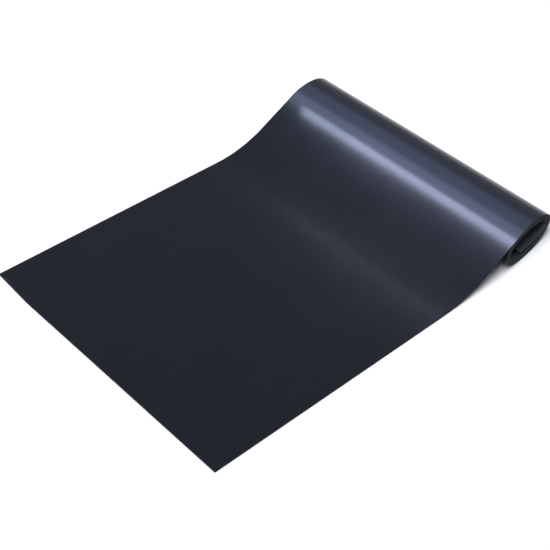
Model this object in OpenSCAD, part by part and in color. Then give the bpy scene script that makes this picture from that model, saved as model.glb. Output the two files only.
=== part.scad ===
// Seedling heat mat: a wide, thin, laminated heating sheet with a finely textured top face.
// Most of it is still wound in a loose roll that has sagged to an oval, and its
// free end lies flat on the bench. X runs across the mat, Y along it towards the
// roll, Z up. The origin is at the middle of the footprint, on the bench.

/* [Mat] */
// Width of the mat
mat_w = 900; // [700:10:1000]
// Length that lies flat on the bench
flat_l = 790; // [600:5:1000]
// Fold line of the free end, as a share of the flat length
fold_share = 0.62; // [0.5:0.01:0.75]

/* [Roll] */
// Half of the roll's width
roll_a = 117; // [112:1:124]
// Half of the roll's height
roll_b = 61.5; // [59:0.5:66]
// Turns in the roll
roll_turns = 6; // [5:1:6]
// Free gap between one turn and the next
turn_gap = 0.5; // [0.4:0.05:0.6]
// Radius of the curve where the sheet leaves the bench
ramp_r = 390; // [300:10:440]
// Steepest slope of the sheet between the bench and the roll
ramp_deg = 26; // [24:0.5:30]

/* [Layers] */
// Thickness of the textured top cover
top_t = 1.0; // [0.9:0.05:1.1]
// Thickness of the earthed screen under the top cover
screen_t = 0.1; // [0.08:0.02:0.12]
// Thickness of each insulating film
film_t = 0.15; // [0.1:0.01:0.16]
// Thickness of the heating layer and its bus bars
heater_t = 0.1; // [0.08:0.02:0.12]
// Thickness of the felt that keeps the heat from going down
felt_t = 0.5; // [0.4:0.05:0.55]
// Thickness of the bottom cover
bottom_t = 1.0; // [0.9:0.05:1.1]
// Width of the sealed rim round the layers inside
seal_w = 24; // [22:1:24]
// Width of each bus bar
busbar_w = 14; // [10:1:14]

/* [Lead block] */
// Length of the lead block along the end edge
block_l = 92; // [90:1:110]
// Height of the block above the sheet, and below it
shell_t = 5.5; // [5.4:0.1:5.6]
// Bore for the supply lead
lead_d = 7.2; // [6:0.1:7.4]

/* [Hidden] */

// Colours
top_vinyl = [0.07, 0.08, 0.11];
foil = [0.75, 0.76, 0.78];
film = [0.85, 0.87, 0.9];
carbon = [0.12, 0.12, 0.12];
copper = [0.72, 0.42, 0.25];
felt = [0.55, 0.55, 0.52];
bottom_vinyl = [0.09, 0.09, 0.1];
seal_vinyl = [0.1, 0.1, 0.11];
moulding = [0.08, 0.08, 0.09];
rubber = [0.05, 0.05, 0.05];
brass = [0.8, 0.68, 0.35];
steel = [0.7, 0.7, 0.72];
ceramic = [0.85, 0.83, 0.78];
red_cover = [0.6, 0.1, 0.08];

// Depths below the top face at which one layer ends and the next begins
screen_d = top_t;
upper_d = screen_d + screen_t;
heater_d = upper_d + film_t;
lower_d = heater_d + heater_t;
felt_d = lower_d + film_t;
bottom_d = felt_d + felt_t;
mat_t = bottom_d + bottom_t;

// Places across the mat
edge_x = mat_w / 2;
core_x = edge_x - seal_w;
carbon_x = core_x - busbar_w;

// The sheet's path, as the line of its top face from the free edge to the inner
// end. Angle q is 0 at the top of the roll and falls by 360 with each turn.
fold_y = flat_l * fold_share;
turn_pitch = mat_t + turn_gap;
leave_q = atan(roll_a / roll_b * tan(ramp_deg));
last_q = -360 * (roll_turns - 0.5);
q_step = 8;
end_lift = 14;
end_slide = 15;
tongue_l = 50;
roll_z = roll_b - turn_pitch * (leave_q + 180) / 360;
leave_z = roll_z + roll_b * cos(leave_q);
ramp_s = (leave_z - mat_t - ramp_r * (1 - cos(ramp_deg))) / sin(ramp_deg);
roll_y = flat_l + ramp_r * sin(ramp_deg) + ramp_s * cos(ramp_deg) + roll_a * sin(leave_q);

function turns_done(q) = (leave_q - q) / 360;
// 0 until the last half turn, then a smooth rise to 1 at its end
function ending(q) =
    let (u = max(0, 1 - (q - last_q) / 180))
    u * u * (3 - 2 * u);
function oval_point(q) =
    let (shrink = turn_pitch * turns_done(q),
        slide = end_slide * ending(q),
        a = roll_a - shrink - slide,
        b = roll_b - shrink - end_lift * ending(q))
    [roll_y + slide - a * sin(q), roll_z + b * cos(q)];

ramp_steps = 8;
ramp_points = [for (i = [0:ramp_steps])
    let (q = ramp_deg * i / ramp_steps)
    [flat_l + ramp_r * sin(q), mat_t + ramp_r * (1 - cos(q))]];
roll_points = [for (q = concat([leave_q],
    [for (k = [floor(leave_q / q_step):-1:ceil(last_q / q_step)]) k * q_step],
    [last_q])) oval_point(q)];
inner_end = oval_point(last_q) - [tongue_l, 0];

// Length of sheet from the tongue's tip to where the layers inside stop
link_w = 10;
link_gap = 10;
tip_stop = seal_w;
link_stop = tip_stop + link_w;
carbon_stop = link_stop + link_gap;

// The rolled part of the path from the fold line, stopping short of the tip
function rolled_path(stop) =
    concat([[fold_y, mat_t]], ramp_points, roll_points, [inner_end + [stop, 0]]);
function unit(v) = v / norm(v);
// Sideways step, away from the top face, at point i of a path
function inward(path, i) =
    let (t = unit(path[min(i + 1, len(path) - 1)] - path[max(i - 1, 0)]))
    [t[1], -t[0]];
function deep_line(path, depth) =
    [for (i = [0:len(path) - 1]) path[i] + depth * inward(path, i)];
function reversed(list) = [for (i = [len(list) - 1:-1:0]) list[i]];

back_y = roll_y + roll_a - turn_pitch * turns_done(-90);
mid_y = back_y / 2;

// A ribbon of the sheet between two depths and two places across the mat
module ribbon(path, depth, thickness, x_low, x_high) {
    outline = concat(deep_line(path, depth), reversed(deep_line(path, depth + thickness)));
    translate([x_low, -mid_y, 0])
        rotate([90, 0, 90])
            linear_extrude(x_high - x_low)
                polygon(outline);
}

module flat_layer(y_low, y_high, depth, thickness, x_low, x_high) {
    translate([x_low, y_low - mid_y, mat_t - depth - thickness])
        cube([x_high - x_low, y_high - y_low, thickness]);
}

// ---- Lead block: local u across the mat, v from the tip, w from the top face ----
block_v_low = -16;
block_v_high = 46;
block_wall = 3;
roof_t = 1.5;
block_u = -edge_x + 13;
split_w = mat_t / 2;
bush_v = -8;
bush_r = 5.3;
bush_l = 8;
flange_r = 6.6;
flange_t = 1.6;
cavity_u_low = bush_l;
cavity_u_high = block_l - block_wall;
cavity_v_low = block_v_low + 4;
cavity_v_high = block_v_high - 4;
screw_r = 1.45;
screw_hole_r = 1.6;
head_r = 2.8;
head_h = 1.6;
boss_r = 4.2;
screw_inset = 6;
screw_places = [for (u = [screw_inset, block_l - screw_inset], v = [6, 40]) [u, v]];
live_u = -core_x + busbar_w / 2 - block_u;
earth_u = live_u + 22;
neutral_u = live_u + 44;
rivet_v = tip_stop + link_w / 2;
rivet_r = 1.4;
tab_t = 0.8;
tab_w = 8;
barrel_r = 1.7;
barrel_l = 7;
wire_r = 0.8;
cutout = [18, 7, 3.4];
cutout_v = 2;
cutout_shift = 4;
rivet_head_r = 2.4;
rivet_head_h = 0.6;
neck_w = 2.4;
slot_w = 0.8;
slot_h = 1;
head_sink = 0.2;

module at_block() {
    translate([block_u, inner_end[0] - mid_y, inner_end[1]])
        children();
}

module block_box(u_low, u_high, v_low, v_high, w_low, w_high) {
    translate([u_low, v_low, w_low])
        cube([u_high - u_low, v_high - v_low, w_high - w_low]);
}

module screw_columns(r, w_low, w_high) {
    for (place = screw_places)
        translate([place[0], place[1], w_low])
            cylinder(r = r, h = w_high - w_low, $fn = 32);
}

module sheet_holes() {
    at_block()
        screw_columns(screw_hole_r, -1, mat_t + 1);
}

module rivet_hole(u) {
    at_block()
        translate([u, rivet_v, -1])
            cylinder(r = rivet_r, h = mat_t + 2, $fn = 32);
}

module rivet_holes() {
    for (u = [live_u, earth_u, neutral_u])
        rivet_hole(u);
}

module lead_bore(r, length) {
    translate([0, bush_v, split_w])
        rotate([0, 90, 0])
            cylinder(r = r, h = length, $fn = 48);
}

// ---- The rolled part of the sheet ----
module top_cover() {
    color(top_vinyl)
        difference() {
            ribbon(rolled_path(0), 0, top_t, -edge_x, edge_x);
            sheet_holes();
        }
}

module earth_screen() {
    color(foil)
        difference() {
            ribbon(rolled_path(tip_stop), screen_d, screen_t, -core_x, core_x);
            sheet_holes();
        }
}

module upper_film() {
    color(film)
        difference() {
            ribbon(rolled_path(tip_stop), upper_d, film_t, -core_x, core_x);
            sheet_holes();
            rivet_hole(earth_u);
        }
}

module carbon_layer() {
    color(carbon)
        ribbon(rolled_path(carbon_stop), heater_d, heater_t, -carbon_x, carbon_x);
}

module live_busbar() {
    color(copper)
        difference() {
            ribbon(rolled_path(tip_stop), heater_d, heater_t, -core_x, -carbon_x);
            rivet_hole(live_u);
        }
}

module neutral_busbar() {
    color(copper)
        ribbon(rolled_path(link_stop), heater_d, heater_t, carbon_x, core_x);
}

module neutral_link() {
    color(copper)
        difference() {
            translate([block_u + neutral_u - tab_w / 2, inner_end[0] + tip_stop - mid_y,
                inner_end[1] + heater_d])
                cube([core_x - block_u - neutral_u + tab_w / 2, link_w, heater_t]);
            rivet_hole(neutral_u);
        }
}

module lower_film() {
    color(film)
        difference() {
            ribbon(rolled_path(tip_stop), lower_d, film_t, -core_x, core_x);
            sheet_holes();
            rivet_holes();
        }
}

module felt_backing() {
    color(felt)
        difference() {
            ribbon(rolled_path(tip_stop), felt_d, felt_t, -core_x, core_x);
            sheet_holes();
            rivet_holes();
        }
}

module bottom_cover() {
    color(bottom_vinyl)
        difference() {
            ribbon(rolled_path(0), bottom_d, bottom_t, -edge_x, edge_x);
            sheet_holes();
            rivet_holes();
        }
}

module edge_seal(x_low, x_high) {
    color(seal_vinyl)
        difference() {
            ribbon(rolled_path(0), screen_d, bottom_d - screen_d, x_low, x_high);
            sheet_holes();
        }
}

module inner_end_seal() {
    color(seal_vinyl)
        difference() {
            translate([-core_x, inner_end[0] - mid_y, inner_end[1] + screen_d])
                cube([2 * core_x, seal_w, bottom_d - screen_d]);
            sheet_holes();
        }
}

// ---- The free end of the sheet ----
module top_cover_free_end() {
    color(top_vinyl)
        flat_layer(0, fold_y, 0, top_t, -edge_x, edge_x);
}

module earth_screen_free_end() {
    color(foil)
        flat_layer(seal_w, fold_y, screen_d, screen_t, -core_x, core_x);
}

module upper_film_free_end() {
    color(film)
        flat_layer(seal_w, fold_y, upper_d, film_t, -core_x, core_x);
}

module carbon_layer_free_end() {
    color(carbon)
        flat_layer(seal_w, fold_y, heater_d, heater_t, -carbon_x, carbon_x);
}

module busbar_free_end(x_low) {
    color(copper)
        flat_layer(seal_w, fold_y, heater_d, heater_t, x_low, x_low + busbar_w);
}

module lower_film_free_end() {
    color(film)
        flat_layer(seal_w, fold_y, lower_d, film_t, -core_x, core_x);
}

module felt_backing_free_end() {
    color(felt)
        flat_layer(seal_w, fold_y, felt_d, felt_t, -core_x, core_x);
}

module bottom_cover_free_end() {
    color(bottom_vinyl)
        flat_layer(0, fold_y, bottom_d, bottom_t, -edge_x, edge_x);
}

module edge_seal_free_end(x_low) {
    color(seal_vinyl)
        flat_layer(0, fold_y, screen_d, bottom_d - screen_d, x_low, x_low + seal_w);
}

module free_end_seal() {
    color(seal_vinyl)
        flat_layer(0, seal_w, screen_d, bottom_d - screen_d, -core_x, core_x);
}

// ---- The lead block ----
module lead_block_base() {
    roof_w = mat_t + shell_t;
    color(moulding)
        at_block()
            difference() {
                union() {
                    block_box(0, block_l, 0, block_v_high, mat_t, roof_w);
                    block_box(0, block_l, block_v_low, 0, split_w, roof_w);
                }
                difference() {
                    union() {
                        block_box(cavity_u_low, cavity_u_high, cavity_v_low, cavity_v_high,
                            mat_t, roof_w - roof_t);
                        block_box(cavity_u_low, cavity_u_high, cavity_v_low, -1,
                            split_w - 1, roof_w - roof_t);
                    }
                    screw_columns(boss_r, mat_t, roof_w);
                }
                screw_columns(screw_hole_r, mat_t - 1, roof_w - head_h);
                screw_columns(head_r, roof_w - head_h, roof_w + 1);
                lead_bore(bush_r, bush_l);
            }
}

module lead_block_cover() {
    color(moulding)
        at_block()
            difference() {
                union() {
                    block_box(0, block_l, 0, block_v_high, -shell_t, 0);
                    block_box(0, block_l, block_v_low, 0, -shell_t, split_w);
                }
                block_box(cavity_u_low, cavity_u_high, cavity_v_low, -1,
                    roof_t - shell_t, split_w + 1);
                screw_columns(screw_r, 1 - shell_t, 1);
                lead_bore(bush_r, bush_l);
            }
}

module lead_bush() {
    color(rubber)
        at_block()
            difference() {
                union() {
                    lead_bore(bush_r, bush_l);
                    translate([-flange_t, 0, 0])
                        lead_bore(flange_r, flange_t);
                }
                translate([-flange_t - 1, 0, 0])
                    lead_bore(lead_d / 2, bush_l + flange_t + 2);
            }
}

// One crimp terminal: a flat tab under the rivet and a barrel for its wire
module terminal(u) {
    color(brass)
        at_block()
            difference() {
                union() {
                    translate([u, rivet_v, mat_t])
                        cylinder(d = tab_w, h = tab_t, $fn = 32);
                    block_box(u - neck_w / 2, u + neck_w / 2, rivet_v - tab_w, rivet_v,
                        mat_t, mat_t + tab_t);
                    translate([u, rivet_v - tab_w - barrel_l + 1, mat_t + barrel_r])
                        rotate([-90, 0, 0])
                            cylinder(r = barrel_r, h = barrel_l, $fn = 24);
                }
                translate([u, rivet_v - tab_w - barrel_l, mat_t + barrel_r])
                    rotate([-90, 0, 0])
                        cylinder(r = wire_r, h = barrel_l - 1, $fn = 24);
                translate([u, rivet_v, mat_t - 1])
                    cylinder(r = rivet_r, h = tab_t + 2, $fn = 32);
            }
}

module rivet(u, w_low) {
    translate([u, rivet_v, w_low])
        cylinder(r = rivet_r, h = mat_t + tab_t - w_low, $fn = 32);
    translate([u, rivet_v, mat_t + tab_t])
        cylinder(r = rivet_head_r, h = rivet_head_h, $fn = 32);
}

module terminal_rivets() {
    color(steel)
        at_block() {
            rivet(live_u, heater_d);
            rivet(neutral_u, heater_d);
            rivet(earth_u, upper_d);
        }
}

module thermal_cutout() {
    color(ceramic)
        at_block()
            translate([live_u - cutout[0] / 2 + cutout_shift, cutout_v, mat_t])
                cube(cutout);
}

module cutout_wire() {
    wire_v = cutout_v + cutout[1];
    color(red_cover)
        at_block()
            translate([live_u, wire_v, mat_t + barrel_r])
                rotate([-90, 0, 0])
                    cylinder(r = wire_r, h = rivet_v - tab_w - 1 - wire_v, $fn = 24);
}

module block_screws() {
    roof_w = mat_t + shell_t;
    color(steel)
        at_block() {
            screw_columns(screw_r, 1 - shell_t, roof_w - head_h);
            difference() {
                screw_columns(head_r, roof_w - head_h, roof_w - head_sink);
                for (place = screw_places)
                    translate([place[0] - slot_w / 2, place[1] - head_r, roof_w - slot_h])
                        cube([slot_w, 2 * head_r, slot_h]);
            }
        }
}

top_cover();
earth_screen();
upper_film();
carbon_layer();
live_busbar();
neutral_busbar();
neutral_link();
lower_film();
felt_backing();
bottom_cover();
edge_seal(-edge_x, -core_x);  // left_edge_seal
edge_seal(core_x, edge_x);  // right_edge_seal
inner_end_seal();
top_cover_free_end();
earth_screen_free_end();
upper_film_free_end();
carbon_layer_free_end();
busbar_free_end(-core_x);  // live_busbar_free_end
busbar_free_end(carbon_x);  // neutral_busbar_free_end
lower_film_free_end();
felt_backing_free_end();
bottom_cover_free_end();
edge_seal_free_end(-edge_x);  // left_edge_seal_free_end
edge_seal_free_end(core_x);  // right_edge_seal_free_end
free_end_seal();
lead_block_base();
lead_block_cover();
lead_bush();
thermal_cutout();
cutout_wire();
terminal(live_u);  // live_terminal
terminal(neutral_u);  // neutral_terminal
terminal(earth_u);  // earth_terminal
terminal_rivets();
block_screws();
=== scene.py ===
# %% [markdown]
# # A seedling heat mat, half unrolled
#
# The mat is a wide, thin laminate: a finely textured vinyl top, a heating layer between films, felt, and a
# smooth vinyl bottom. Most of it is still wound in a loose roll that has sagged to an oval. Everything is in
# metres, in the frame of the CAD model: X across the mat, Y along it towards the roll, Z up.

import math

import bpy
import numpy as np
from mathutils import Matrix, Vector


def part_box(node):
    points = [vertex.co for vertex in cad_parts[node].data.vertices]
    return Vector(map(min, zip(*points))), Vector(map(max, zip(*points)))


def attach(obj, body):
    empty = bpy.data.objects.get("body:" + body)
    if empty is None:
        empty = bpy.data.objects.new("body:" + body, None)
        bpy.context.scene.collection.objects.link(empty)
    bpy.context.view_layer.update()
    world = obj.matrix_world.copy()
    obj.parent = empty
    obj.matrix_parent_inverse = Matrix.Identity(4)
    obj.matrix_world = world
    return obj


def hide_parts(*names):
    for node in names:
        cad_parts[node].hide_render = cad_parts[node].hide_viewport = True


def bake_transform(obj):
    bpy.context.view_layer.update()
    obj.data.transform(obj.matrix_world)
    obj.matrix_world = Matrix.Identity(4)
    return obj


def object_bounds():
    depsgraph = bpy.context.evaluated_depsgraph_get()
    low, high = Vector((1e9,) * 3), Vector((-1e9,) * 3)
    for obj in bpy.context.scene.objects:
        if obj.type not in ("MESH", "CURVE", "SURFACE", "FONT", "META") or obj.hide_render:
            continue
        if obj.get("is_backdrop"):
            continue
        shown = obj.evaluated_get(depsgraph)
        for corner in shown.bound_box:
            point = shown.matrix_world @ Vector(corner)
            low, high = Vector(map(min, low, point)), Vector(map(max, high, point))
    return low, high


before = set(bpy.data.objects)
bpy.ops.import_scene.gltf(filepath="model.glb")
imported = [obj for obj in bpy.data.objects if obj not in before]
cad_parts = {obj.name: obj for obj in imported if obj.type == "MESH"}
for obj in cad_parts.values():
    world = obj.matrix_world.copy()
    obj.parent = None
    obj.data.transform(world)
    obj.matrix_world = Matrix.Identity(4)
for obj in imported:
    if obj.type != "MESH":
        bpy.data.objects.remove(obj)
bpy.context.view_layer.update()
MM = 0.001

# %% [markdown]
# ## The camera first
#
# A camera is a place to look from, a lens and a tilt. It is easiest to reason about as an orbit: the point it
# looks at, how far round and how far up it stands, and how far away. The tilt turns the view a few degrees,
# as a hand-held camera does.

# %% Camera
LOOK_AT = Vector((0.0465, -0.0660, 0.0))
AZIMUTH = math.radians(45.12)
ELEVATION = math.radians(41.76)
TILT = math.radians(2.91)
DISTANCE = 3.409
LENS_MM = 81.47


def make_camera():
    back = Vector((math.sin(AZIMUTH) * math.cos(ELEVATION),
                   -math.cos(AZIMUTH) * math.cos(ELEVATION),
                   math.sin(ELEVATION)))
    level = Vector((math.cos(AZIMUTH), math.sin(AZIMUTH), 0))
    upright = back.cross(level)
    right = level * math.cos(TILT) + upright * math.sin(TILT)
    up = back.cross(right)
    data = bpy.data.cameras.new("camera")
    data.lens = LENS_MM
    data.sensor_width = 36
    data.clip_start, data.clip_end = 0.05, 50
    camera = bpy.data.objects.new("camera", data)
    turn = Matrix((right, up, back)).transposed().to_4x4()
    camera.matrix_world = Matrix.Translation(LOOK_AT + back * DISTANCE) @ turn
    bpy.context.scene.collection.objects.link(camera)
    bpy.context.scene.camera = camera
    return camera


camera = make_camera()
print("camera at", [round(v, 3) for v in camera.matrix_world.translation])

# %% [markdown]
# ## Node trees written as sums
#
# Shader and geometry trees are clumsy to write socket by socket. Two small classes make them read like
# arithmetic: a Wire is one output of a node, and adding or multiplying wires adds Math nodes. Every other
# node comes from Tree.node, which takes its type, its settings and what goes into its sockets.

# %% Tree and Wire
class Wire:
    def __init__(self, tree, socket):
        self.tree, self.socket = tree, socket

    def math(self, operation, a, b=0.0):
        return self.tree.node("ShaderNodeMath", {"operation": operation}, {0: a, 1: b})

    def __add__(self, other): return self.math("ADD", self, other)
    def __radd__(self, other): return self.math("ADD", other, self)
    def __sub__(self, other): return self.math("SUBTRACT", self, other)
    def __rsub__(self, other): return self.math("SUBTRACT", other, self)
    def __mul__(self, other): return self.math("MULTIPLY", self, other)
    def __rmul__(self, other): return self.math("MULTIPLY", other, self)
    def __truediv__(self, other): return self.math("DIVIDE", self, other)
    def sine(self): return self.math("SINE", self)

    def __le__(self, other):
        """1 or 0, for whole numbers: half a step keeps the equal case clear of rounding."""
        return self.math("LESS_THAN", self, other + 0.5)


class Tree:
    def __init__(self, tree):
        self.tree = tree

    def node(self, kind, settings=None, inputs=None, output=0):
        made = self.tree.nodes.new(kind)
        for name, value in (settings or {}).items():
            setattr(made, name, value)
        for key, value in (inputs or {}).items():
            if isinstance(value, Wire):
                self.tree.links.new(value.socket, made.inputs[key])
            else:
                made.inputs[key].default_value = value
        return Wire(self, made.outputs[output]) if made.outputs else made

    def output(self, node_output, name):
        return Wire(self, node_output.socket.node.outputs[name])


print("tree helpers ready")

# %% [markdown]
# ## The path of the sheet
#
# Every layer of the mat follows one line: flat on the bench, up a gentle curve, over the top of the roll and
# round it turn by turn. The line is a formula, not a drawing, so all layers fit each other: a layer is that
# line moved inwards by its depth. The sizes are those of the CAD model, and the places that the CAD model
# knows are read from its boxes.

# %% Driving sizes
cover_low, cover_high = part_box("top_cover_free_end")
base_low, base_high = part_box("bottom_cover_free_end")
WIDTH = cover_high.x - cover_low.x
FREE_Y = cover_low.y
FLAT_LENGTH = 790 * MM
RAMP_RADIUS = 390 * MM
RAMP_ANGLE = math.radians(26)
ROLL_A = 117 * MM
ROLL_B = 61.5 * MM
TURNS = 6
TURN_GAP = 0.5 * MM
END_LIFT = 14 * MM
END_SLIDE = 15 * MM
TONGUE = 50 * MM
SEAL = 24 * MM
BUSBAR = 14 * MM
MAT = cover_high.z - base_low.z
TOP = cover_high.z - cover_low.z
BOTTOM = base_high.z - base_low.z
PITCH = MAT + TURN_GAP
print("width", round(WIDTH, 4), "thickness", round(MAT, 5))

# %% The path as a formula
# Angles on the roll start at its top and fall towards its back: LEAVE is where the ramp touches it, LAST is
# where the inner end lies. The ramp's straight part is as long as it takes to reach the roll.
LEAVE = math.atan(ROLL_A / ROLL_B * math.tan(RAMP_ANGLE))
LAST = -2 * math.pi * (TURNS - 0.5)
ROLL_Z = ROLL_B - PITCH * (LEAVE + math.pi) / (2 * math.pi)
LEAVE_Z = ROLL_Z + ROLL_B * math.cos(LEAVE)
RAMP_STRAIGHT = (LEAVE_Z - MAT - RAMP_RADIUS * (1 - math.cos(RAMP_ANGLE))) / math.sin(RAMP_ANGLE)
ROLL_Y = (FREE_Y + FLAT_LENGTH + RAMP_RADIUS * math.sin(RAMP_ANGLE)
          + RAMP_STRAIGHT * math.cos(RAMP_ANGLE) + ROLL_A * math.sin(LEAVE))
FLAT_POINTS = 33
RAMP_POINTS = 21
TURN_STEP = math.radians(6)


def smooth(u):
    u = np.clip(u, 0, 1)
    return u * u * (3 - 2 * u)


def oval_point(angle):
    """A point of the roll, from angle LEAVE at the front down to LAST at the inner end."""
    shrink = PITCH * (LEAVE - angle) / (2 * math.pi)
    ending = smooth(1 - (angle - LAST) / math.pi)
    a = ROLL_A - shrink - END_SLIDE * ending
    b = ROLL_B - shrink - END_LIFT * ending
    return (ROLL_Y + END_SLIDE * ending - a * math.sin(angle), ROLL_Z + b * math.cos(angle))


def ramp_point(angle):
    return (FREE_Y + FLAT_LENGTH + RAMP_RADIUS * math.sin(angle),
            MAT + RAMP_RADIUS * (1 - math.cos(angle)))


def make_path():
    flat = [(y, MAT) for y in np.linspace(FREE_Y, FREE_Y + FLAT_LENGTH, FLAT_POINTS)]
    ramp = [ramp_point(a) for a in np.linspace(0, RAMP_ANGLE, RAMP_POINTS + 1)[1:]]
    turns = [oval_point(a) for a in np.arange(LEAVE, LAST, -TURN_STEP)]
    end = oval_point(LAST)
    tongue = [(end[0] - TONGUE * share, end[1]) for share in (0, 0.3, 0.6, 1.0)]
    return np.array(flat + ramp + turns + tongue)


PATH = make_path()
STEPS = np.linalg.norm(np.diff(PATH, axis=0), axis=1)
ALONG = np.concatenate([[0], np.cumsum(STEPS)])
SHEET_LENGTH = float(ALONG[-1])
TANGENT = np.gradient(PATH, ALONG, axis=0)
TANGENT /= np.linalg.norm(TANGENT, axis=1)[:, None]
INWARD = np.stack([TANGENT[:, 1], -TANGENT[:, 0]], axis=1)
print("sheet", round(SHEET_LENGTH, 3), "m long,", len(PATH), "points")

# %% Where the outer turn ends
# A little more than one turn, so that the change of piece lies under the ramp.
OUTER_TURN_POINTS = 62
OUTER_TURN_END = float(ALONG[FLAT_POINTS + RAMP_POINTS + OUTER_TURN_POINTS])
print("outer turn ends", round(OUTER_TURN_END, 3), "m along the sheet")

# %% [markdown]
# ## How the real sheet settles
#
# A sheet that lies on a bench isn't the formula exactly. The roll leans: its turns sit further to the left
# the further back they are, so both of its ends slant. The left corner of the free end is pulled in a little.
# These are functions of the place on the sheet, so each layer moves with the others and none cuts through its
# neighbour.

# %% Settling
SIDE_SHIFT = 10 * MM
LEAN = 28 * MM
CORNER_SPAN = 80 * MM
CORNER_PLACES = np.array([0, 6, 20, 33, 49, 66, 98, 140]) * MM
CORNER_PULLS = np.array([7, 9, 14, 16, 11, 7.5, 2.3, 0]) * MM


def settle(points, across, along):
    """Moves points of the ideal sheet to where the real one lies."""
    moved = points.copy()
    into_roll = np.clip((points[:, 1] - (ROLL_Y - ROLL_A)) / (2 * ROLL_A), 0, None)
    moved[:, 0] += SIDE_SHIFT - LEAN * into_roll
    from_side = across + WIDTH / 2
    near_end = 1 - smooth(along / CORNER_SPAN)
    moved[:, 1] += np.interp(from_side, CORNER_PLACES, CORNER_PULLS) * near_end
    return moved


print("roll leans", round(LEAN, 3), "m, corner pulled in", round(float(CORNER_PULLS.max()), 3), "m")

# %% [markdown]
# ## One tree that makes any layer
#
# All layers are the same thing with other numbers: a flat section swept along the path. So one Geometry
# Nodes tree makes them all. It turns the path into a curve, builds a closed section, sweeps it with Curve to
# Mesh, and then puts each vertex exactly where the path, the place across the mat and the depth say. The
# sizes are named inputs.

# %% The sweep tree
SWEEP_INPUTS = [("Low", "NodeSocketFloat"), ("High", "NodeSocketFloat"), ("Depth", "NodeSocketFloat"),
                ("Thickness", "NodeSocketFloat"), ("Columns", "NodeSocketInt"),
                ("Under Columns", "NodeSocketInt"), ("Material", "NodeSocketMaterial")]


def make_sweep_tree():
    group = bpy.data.node_groups.new("sheet_sweep", "GeometryNodeTree")
    group.interface.new_socket("Geometry", in_out="INPUT", socket_type="NodeSocketGeometry")
    for name, kind in SWEEP_INPUTS:
        group.interface.new_socket(name, in_out="INPUT", socket_type=kind)
    group.interface.new_socket("Geometry", in_out="OUTPUT", socket_type="NodeSocketGeometry")
    tree = Tree(group)
    given = tree.node("NodeGroupInput")

    def value(name):
        return tree.output(given, name)

    # The section: top points 0 to columns, then under points back again.
    columns, under = value("Columns"), value("Under Columns")
    low, high = value("Low"), value("High")
    number = tree.node("GeometryNodeInputIndex")
    is_top = number <= columns
    span = high - low
    top_x = low + span * number / columns
    under_x = high - span * (number - columns - 1) / under
    section_x = top_x * is_top + under_x * (1 - is_top)
    under_depth = value("Depth") + value("Thickness")
    section_depth = value("Depth") * is_top + under_depth * (1 - is_top)
    loop = tree.node("GeometryNodeCurvePrimitiveCircle", {"mode": "RADIUS"},
                     {"Resolution": columns + under + 2, "Radius": 0.1})
    loop = tree.node("GeometryNodeStoreNamedAttribute", {"data_type": "FLOAT", "domain": "POINT"},
                     {"Geometry": loop, "Name": "across", "Value": section_x})
    loop = tree.node("GeometryNodeStoreNamedAttribute", {"data_type": "FLOAT", "domain": "POINT"},
                     {"Geometry": loop, "Name": "depth", "Value": section_depth})

    # The rail: the path, which remembers its own place.
    rail = tree.node("GeometryNodeMeshToCurve", {}, {"Mesh": value("Geometry")})
    rail = tree.node("GeometryNodeStoreNamedAttribute", {"data_type": "FLOAT_VECTOR", "domain": "POINT"},
                     {"Geometry": rail, "Name": "centre", "Value": tree.node("GeometryNodeInputPosition")})
    swept = tree.node("GeometryNodeCurveToMesh", {},
                      {"Curve": rail, "Profile Curve": loop, "Fill Caps": True})

    def stored(name, kind):
        return tree.node("GeometryNodeInputNamedAttribute", {"data_type": kind}, {"Name": name})

    inwards = tree.node("ShaderNodeVectorMath", {"operation": "SCALE"},
                        {0: stored("inward", "FLOAT_VECTOR"), "Scale": stored("depth", "FLOAT")})
    sideways = tree.node("ShaderNodeCombineXYZ", {}, {"X": stored("across", "FLOAT")})
    place = tree.node("ShaderNodeVectorMath", {"operation": "ADD"},
                      {0: stored("centre", "FLOAT_VECTOR"), 1: inwards})
    place = tree.node("ShaderNodeVectorMath", {"operation": "ADD"}, {0: place, 1: sideways})
    swept = tree.node("GeometryNodeSetPosition", {}, {"Geometry": swept, "Position": place})
    swept = tree.node("GeometryNodeRealizeInstances", {}, {"Geometry": swept})
    swept = tree.node("GeometryNodeSetMaterial", {}, {"Geometry": swept, "Material": value("Material")})
    tree.node("NodeGroupOutput", {}, {"Geometry": swept})
    return group


sweep_tree = make_sweep_tree()
print("sweep tree with", len(sweep_tree.nodes), "nodes")

# %% The path as a mesh
TINY = 1e-6


def path_polyline(start, end):
    """The path between two lengths along it, as a mesh of edges with its inward direction."""
    inside = (ALONG > start + TINY) & (ALONG < end - TINY)
    along = np.concatenate([[start], ALONG[inside], [end]])
    mesh = bpy.data.meshes.new("path")
    y, z = (np.interp(along, ALONG, PATH[:, k]) for k in (0, 1))
    inward = np.stack([np.interp(along, ALONG, INWARD[:, k]) for k in (0, 1)], axis=1)
    inward /= np.linalg.norm(inward, axis=1)[:, None]
    mesh.from_pydata([(0, *p) for p in zip(y, z)], [(i, i + 1) for i in range(len(y) - 1)], [])
    directions = mesh.attributes.new("inward", "FLOAT_VECTOR", "POINT")
    directions.data.foreach_set("vector", np.column_stack([0 * y, inward]).astype(np.float32).ravel())
    lengths = mesh.attributes.new("along", "FLOAT", "POINT")
    lengths.data.foreach_set("value", along.astype(np.float32))
    return mesh


print("shortest step", round(float(STEPS.min()), 4), "m")

# %% Settled mesh with outward faces
# A face that looks this much sideways is a cut edge of the sheet.
CUT_FACING = 0.9
SHARP_ANGLE = math.radians(40)


def read_attribute(mesh, name):
    values = np.zeros(len(mesh.vertices), np.float32)
    mesh.attributes[name].data.foreach_get("value", values)
    return values.astype(float)


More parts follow.
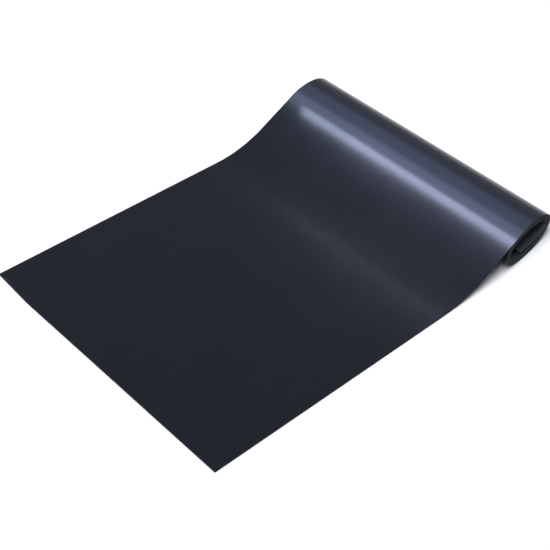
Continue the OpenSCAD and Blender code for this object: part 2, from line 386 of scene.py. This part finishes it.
def finish_sheet_mesh(mesh):
    """Settles the swept mesh, turns its faces outwards and gives it a UV map in metres."""
    points = np.zeros(len(mesh.vertices) * 3, np.float32)
    mesh.vertices.foreach_get("co", points)
    across, along = read_attribute(mesh, "across"), read_attribute(mesh, "along")
    moved = settle(points.reshape(-1, 3).astype(float), across, along)
    mesh.vertices.foreach_set("co", moved.astype(np.float32).ravel())
    mesh.calc_loop_triangles()
    corners = np.array([t.vertices for t in mesh.loop_triangles])
    a, b, c = (moved[corners[:, k]] for k in range(3))
    if (a * np.cross(b, c)).sum() < 0:
        mesh.flip_normals()
    loops = np.zeros(len(mesh.loops), np.int32)
    mesh.loops.foreach_get("vertex_index", loops)
    layer = mesh.uv_layers.new(name="sheet_metres")
    layer.data.foreach_set("uv", np.column_stack([across, along])[loops].astype(np.float32).ravel())
    for name in ("centre", "inward", "depth", "across", "along"):
        if name in mesh.attributes:
            mesh.attributes.remove(mesh.attributes[name])
    normals = np.zeros(len(mesh.polygons) * 3, np.float32)
    mesh.polygons.foreach_get("normal", normals)
    is_cut = np.abs(normals.reshape(-1, 3)[:, 0]) > CUT_FACING
    mesh.materials.append(CUT_EDGE)
    mesh.polygons.foreach_set("material_index", is_cut.astype(np.int32))
    mesh.polygons.foreach_set("use_smooth", [True] * len(mesh.polygons))
    mesh.set_sharp_from_angle(angle=SHARP_ANGLE)
    mesh.update()


print("cut edges and sharp edges are found by angle")

# %% A layer as a piece
def make_layer(name, low, high, depth, thickness, start, end, material, columns=24, under=24):
    source = bpy.data.objects.new(name + "_path", path_polyline(start, end))
    bpy.context.scene.collection.objects.link(source)
    modifier = source.modifiers.new("sweep", "NODES")
    modifier.node_group = sweep_tree
    values = {"Low": low, "High": high, "Depth": depth, "Thickness": thickness, "Columns": columns,
              "Under Columns": under, "Material": material}
    for item in sweep_tree.interface.items_tree:
        if item.in_out == "INPUT" and item.name in values:
            modifier[item.identifier] = values[item.name]
    bpy.context.view_layer.update()
    graph = bpy.context.evaluated_depsgraph_get()
    mesh = bpy.data.meshes.new_from_object(source.evaluated_get(graph), depsgraph=graph)
    mesh.name = name
    bpy.data.objects.remove(source)
    finish_sheet_mesh(mesh)
    piece = bpy.data.objects.new(name, mesh)
    bpy.context.scene.collection.objects.link(piece)
    print(name, len(mesh.polygons), "faces")
    return piece


print("a layer is one call of make_layer")

# %% [markdown]
# ## Finishes
#
# The top is a satin vinyl, almost black with a blue cast. Its colour is a dark base with soft clouds and long
# faint streaks. A fine grain and very shallow slanting lines break the gloss. Roughness changes with the
# grain and the clouds, because a single value looks like paint.

# %% Material helpers
def start_material(name):
    material = bpy.data.materials.new(name)
    material.use_nodes = True
    material.node_tree.nodes.clear()
    return material, Tree(material.node_tree)


def end_material(tree, sockets, **fixed):
    """The Principled shader: sockets are links, fixed are values set on the shader itself."""
    values = {name.replace("_", " "): v for name, v in fixed.items()}
    shader = tree.node("ShaderNodeBsdfPrincipled", {}, {**sockets, **values})
    tree.node("ShaderNodeOutputMaterial", {}, {"Surface": shader})


def noise(tree, where, scale, detail=3.0):
    return tree.node("ShaderNodeTexNoise", {}, {"Vector": where, "Scale": scale, "Detail": detail,
                                                "Roughness": 0.5})


def stretched(tree, where, scale):
    return tree.node("ShaderNodeMapping", {}, {"Vector": where, "Scale": scale})


def blend_colours(tree, share, dark, light):
    return tree.node("ShaderNodeMix", {"data_type": "RGBA"}, {0: share, 6: (*dark, 1), 7: (*light, 1)},
                     output=2)


def bump(tree, height, distance):
    return tree.node("ShaderNodeBump", {}, {"Height": height, "Distance": distance, "Strength": 1.0})


print("material helpers ready")

# %% Vinyl covers
LINE_SPACING = 11 * MM
GRAIN_SCALE, CLOUD_SCALE, STREAK_SCALE = 900.0, 6.0, (40.0, 1.5, 1.0)


def diagonal_lines(tree, where, spacing):
    """0 to 1 waves that run slantwise over the sheet, spacing apart along either edge."""
    across = tree.node("ShaderNodeSeparateXYZ", {}, {"Vector": where}, output=0)
    along = tree.node("ShaderNodeSeparateXYZ", {}, {"Vector": where}, output=1)
    wave = ((across + along) * (math.tau / spacing)).sine()
    return wave * 0.5 + 0.5


def vinyl(name, dark, light, roughness, grain_height, line_height=0.0):
    material, tree = start_material(name)
    where = tree.node("ShaderNodeUVMap", {"uv_map": "sheet_metres"})
    grain = noise(tree, where, GRAIN_SCALE, 2.0)
    streaks = noise(tree, stretched(tree, where, STREAK_SCALE), 1.0, 4.0)
    clouds = noise(tree, where, CLOUD_SCALE)
    share = streaks * 0.5 + clouds * 0.5
    rough = roughness - 0.05 + grain * 0.06 + clouds * 0.05
    height = grain * grain_height + diagonal_lines(tree, where, LINE_SPACING) * line_height
    end_material(tree, {"Base Color": blend_colours(tree, share, dark, light), "Roughness": rough,
                        "Normal": bump(tree, height, 1.0)},
                 Specular_Tint=(0.80, 0.84, 1.0, 1), IOR=1.5)
    return material


def plain(name, dark, light, roughness, scale, metallic=0.0, grain_height=0.02 * MM, ior=1.5):
    """Any small part: a mottled colour and a fine grain on its own surface."""
    material, tree = start_material(name)
    where = tree.node("ShaderNodeTexCoord", output=3)
    mottle = noise(tree, where, scale, 4.0)
    grain = noise(tree, where, scale * 12, 2.0)
    end_material(tree, {"Base Color": blend_colours(tree, mottle, dark, light),
                        "Roughness": roughness - 0.06 + mottle * 0.12,
                        "Normal": bump(tree, grain, grain_height)},
                 Metallic=metallic, IOR=ior)
    return material


print("two kinds of material: vinyl and plain")

# %% The materials
TOP_VINYL = vinyl("top_vinyl", (0.0048, 0.0057, 0.0088), (0.0072, 0.0085, 0.0130), 0.26, 0.05 * MM,
                  line_height=0.03 * MM)
BOTTOM_VINYL = vinyl("bottom_vinyl", (0.030, 0.035, 0.034), (0.044, 0.050, 0.048), 0.60, 0.08 * MM)
SEAL_VINYL = vinyl("seal_vinyl", (0.010, 0.011, 0.015), (0.016, 0.017, 0.022), 0.45, 0.04 * MM)
CUT_EDGE = plain("cut_edge", (0.006, 0.006, 0.007), (0.012, 0.012, 0.013), 0.85, 150, ior=1.3)
FILM = plain("clear_film", (0.72, 0.75, 0.78), (0.85, 0.87, 0.90), 0.22, 60)
CARBON = plain("printed_carbon", (0.012, 0.012, 0.013), (0.03, 0.03, 0.03), 0.6, 300)
COPPER = plain("copper_foil", (0.75, 0.38, 0.22), (0.90, 0.52, 0.33), 0.3, 90, metallic=1.0)
FOIL = plain("screen_foil", (0.70, 0.71, 0.73), (0.85, 0.86, 0.88), 0.32, 120, metallic=1.0)
FELT = plain("grey_felt", (0.30, 0.30, 0.29), (0.48, 0.48, 0.46), 0.95, 700, grain_height=0.2 * MM)
MOULDED = plain("moulded_block", (0.012, 0.012, 0.013), (0.02, 0.02, 0.022), 0.5, 250)
RUBBER = plain("rubber_bush", (0.008, 0.008, 0.008), (0.016, 0.016, 0.016), 0.7, 400)
CERAMIC = plain("cutout_shell", (0.70, 0.67, 0.60), (0.82, 0.80, 0.74), 0.55, 500)
RED_LEAD = plain("wire_cover", (0.35, 0.02, 0.015), (0.5, 0.04, 0.03), 0.35, 500)
BRASS = plain("terminal_brass", (0.60, 0.47, 0.20), (0.75, 0.60, 0.30), 0.3, 500, metallic=1.0)
STEEL = plain("plated_steel", (0.55, 0.55, 0.56), (0.70, 0.70, 0.71), 0.28, 500, metallic=1.0)
print(len(bpy.data.materials), "materials")

# %% [markdown]
# ## The covers
#
# The top cover's texture is too shallow for geometry, so its material carries it. The part that shows has
# columns enough to bend smoothly. The turns inside the roll show only their cut edges, so they are a piece of
# their own with few columns.

# %% Covers
EDGE = WIDTH / 2
CORE = EDGE - SEAL
HEATER_EDGE = CORE - BUSBAR
BENDS = []


def cross_fold(piece, slot, *nodes):
    """The piece stands for its CAD nodes, which are hidden, and is added to the list BENDS."""
    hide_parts(*nodes)
    BENDS.append(piece)


top_cover = make_layer("textured_top_cover", -EDGE, EDGE, 0, TOP, 0, OUTER_TURN_END, TOP_VINYL,
                       columns=120, under=120)
cross_fold(top_cover, "cover_top", "top_cover", "top_cover_free_end")
inner_turns = make_layer("top_cover_inner_turns", -EDGE, EDGE, 0, TOP, OUTER_TURN_END, SHEET_LENGTH,
                         TOP_VINYL)
bottom_cover = make_layer("smooth_bottom_cover", -EDGE, EDGE, MAT - BOTTOM, BOTTOM, 0, SHEET_LENGTH,
                          BOTTOM_VINYL, columns=60, under=60)
cross_fold(bottom_cover, "cover_bottom", "bottom_cover", "bottom_cover_free_end")

# %% [markdown]
# ## The layers inside and the seals
#
# They hardly show, but the mat is built from them, and they bend with the covers. Each takes its depth and
# thickness from the box of its own CAD node, so the stack can't drift apart.

# %% Layers and seals
def stack_place(node):
    """How deep below the top face a flat node starts, and how thick it is."""
    low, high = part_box(node)
    return MAT - high.z, high.z - low.z


LINK = 10 * MM
LAYERS = [
    ("earth_screen", "screen", FOIL, -CORE, CORE, SEAL),
    ("upper_film", "film", FILM, -CORE, CORE, SEAL),
    ("carbon_layer", "carbon", CARBON, -HEATER_EDGE, HEATER_EDGE, SEAL + 2 * LINK),
    ("live_busbar", "copper", COPPER, -CORE, -HEATER_EDGE, SEAL),
    ("neutral_busbar", "copper", COPPER, HEATER_EDGE, CORE, SEAL + LINK),
    ("lower_film", "film", FILM, -CORE, CORE, SEAL),
    ("felt_backing", "felt", FELT, -CORE, CORE, SEAL),
]
for node, slot, material, low, high, stop in LAYERS:
    depth, thickness = stack_place(node + "_free_end")
    piece = make_layer(node + "_sheet", low, high, depth, thickness, SEAL, SHEET_LENGTH - stop,
                       material, columns=12, under=12)
    cross_fold(piece, slot, node, node + "_free_end")
for node, low, high in (("left_edge_seal", -EDGE, -CORE), ("right_edge_seal", CORE, EDGE)):
    depth, thickness = stack_place(node + "_free_end")
    piece = make_layer(node + "_strip", low, high, depth, thickness, 0, SHEET_LENGTH, SEAL_VINYL,
                       columns=2, under=2)
    cross_fold(piece, "seal", node, node + "_free_end")

# %% End seals
depth, thickness = stack_place("free_end_seal")
front_seal = make_layer("free_end_seal_strip", -CORE, CORE, depth, thickness, 0, SEAL, SEAL_VINYL,
                        columns=96, under=96)
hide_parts("free_end_seal")
inner_seal = make_layer("inner_end_seal_strip", -CORE, CORE, depth, thickness, SHEET_LENGTH - SEAL,
                        SHEET_LENGTH, SEAL_VINYL)
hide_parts("inner_end_seal")

# %% [markdown]
# ## Small parts that keep their CAD shape
#
# The lead block and what is in it are rigid, so their CAD shapes stay. They only need their finishes.

# %% Finishes of the CAD nodes
KEPT = {"neutral_link": COPPER, "lead_block_base": MOULDED, "lead_block_cover": MOULDED,
        "lead_bush": RUBBER, "thermal_cutout": CERAMIC, "cutout_wire": RED_LEAD,
        "live_terminal": BRASS, "neutral_terminal": BRASS, "earth_terminal": BRASS,
        "terminal_rivets": STEEL, "block_screws": STEEL}
for node, material in KEPT.items():
    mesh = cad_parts[node].data
    mesh.materials.clear()
    mesh.materials.append(material)
print(len(KEPT), "CAD nodes finished")

# %% [markdown]
# ## The bodies
#
# The joint is a line across the flat part. A real sheet doesn't crease there but bends over some length,
# wholly
# in front of the line, because behind it the sheet rests on the bench and can't go down. No bend is built
# here:
# the pieces listed in BENDS only get their placement baked into their meshes, the free end seal joins the
# free end body, and the inner turns and the inner seal join the rolled mat body.

# %% Bodies
for piece in BENDS:
    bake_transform(piece)
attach(front_seal, "free_end")
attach(inner_turns, "rolled_mat")
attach(inner_seal, "rolled_mat")

# %% [markdown]
# ## Floor and light
#
# A plain pale floor and soft light. The dark satin sheet is shaped almost only by what it mirrors, so the
# lights are placed by reflection. Level soft boxes lie just above the roll, each wider and fainter than the
# last: together they give a long highlight with a sharp front edge and a slow fade behind it. They lie low,
# so that little of them reaches the flat part and the ramp. A wide sun from the front fills the rest.

# %% Floor
FLOOR_HALF = 12.0
FLOOR_GAP = 0.4 * MM


def make_floor():
    mesh = bpy.data.meshes.new("floor")
    corners = [(x * FLOOR_HALF, y * FLOOR_HALF, 0) for x, y in ((-1, -1), (1, -1), (1, 1), (-1, 1))]
    mesh.from_pydata(corners, [], [(0, 1, 2, 3)])
    floor = bpy.data.objects.new("floor", mesh)
    floor.location.z = -FLOOR_GAP
    bpy.context.scene.collection.objects.link(floor)
    material, tree = start_material("pale_floor")
    where = tree.node("ShaderNodeTexCoord", output=3)
    share = noise(tree, where, 3.0)
    end_material(tree, {"Base Color": blend_colours(tree, share, (0.86, 0.86, 0.86), (0.88, 0.88, 0.88))},
                 Roughness=0.8)
    mesh.materials.append(material)
    floor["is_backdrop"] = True


make_floor()
print("floor", 2 * FLOOR_HALF, "m square")

# %% Lights
BOX_HEIGHT = 0.19
ROLL_BOXES = [  # name, y from, y to, x from, x to, radiance, colour
    ("roll_strip", 0.420, 0.447, -0.24, 0.46, 14.0, (0.80, 0.83, 1.0)),
    ("roll_strip_long", 0.420, 0.447, -0.44, 0.46, 12.0, (0.76, 0.84, 1.0)),
    ("roll_near", 0.430, 0.515, -0.60, 0.50, 2.6, (0.64, 0.74, 1.0)),
    ("roll_wide", 0.430, 0.620, -0.80, 0.55, 0.8, (0.52, 0.68, 1.0)),
]
SUN_DIRECTION = Vector((-0.12, 0.58, -0.80))
SUN_POWER, SUN_ANGLE = 3.6, math.radians(30)
SKY_COLOUR, SKY_POWER = (0.9, 0.93, 1.0, 1), 0.29


def soft_box(name, place, aim, size, power, colour):
    data = bpy.data.lights.new(name, "AREA")
    data.shape = "RECTANGLE"
    data.size, data.size_y = size
    data.energy = power
    data.color = colour
    light = bpy.data.objects.new(name, data)
    light.location = place
    light.rotation_euler = (Vector(aim) - Vector(place)).to_track_quat("-Z", "Y").to_euler()
    light.visible_camera = False
    bpy.context.scene.collection.objects.link(light)


def roll_box(name, y_low, y_high, x_low, x_high, radiance, colour):
    """A soft box lying level just above the roll, facing down."""
    size = (x_high - x_low, y_high - y_low)
    place = ((x_low + x_high) / 2, (y_low + y_high) / 2, BOX_HEIGHT)
    soft_box(name, place, (*place[:2], 0), size, radiance * math.pi * size[0] * size[1], colour)


for box in ROLL_BOXES:
    roll_box(*box)
sun = bpy.data.lights.new("front_fill", "SUN")
sun.energy, sun.angle = SUN_POWER, SUN_ANGLE
sun_light = bpy.data.objects.new("front_fill", sun)
sun_light.rotation_euler = SUN_DIRECTION.to_track_quat("-Z", "Y").to_euler()
bpy.context.scene.collection.objects.link(sun_light)
world = bpy.data.worlds.new("studio")
world.use_nodes = True
background = world.node_tree.nodes["Background"]
background.inputs["Color"].default_value = SKY_COLOUR
background.inputs["Strength"].default_value = SKY_POWER
bpy.context.scene.world = world
bpy.context.scene.view_settings.view_transform = "Standard"
print(len(bpy.data.lights), "lights")

# %% Sizes and finish
low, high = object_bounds()
print("visual box", [round(v, 4) for v in low], [round(v, 4) for v in high])
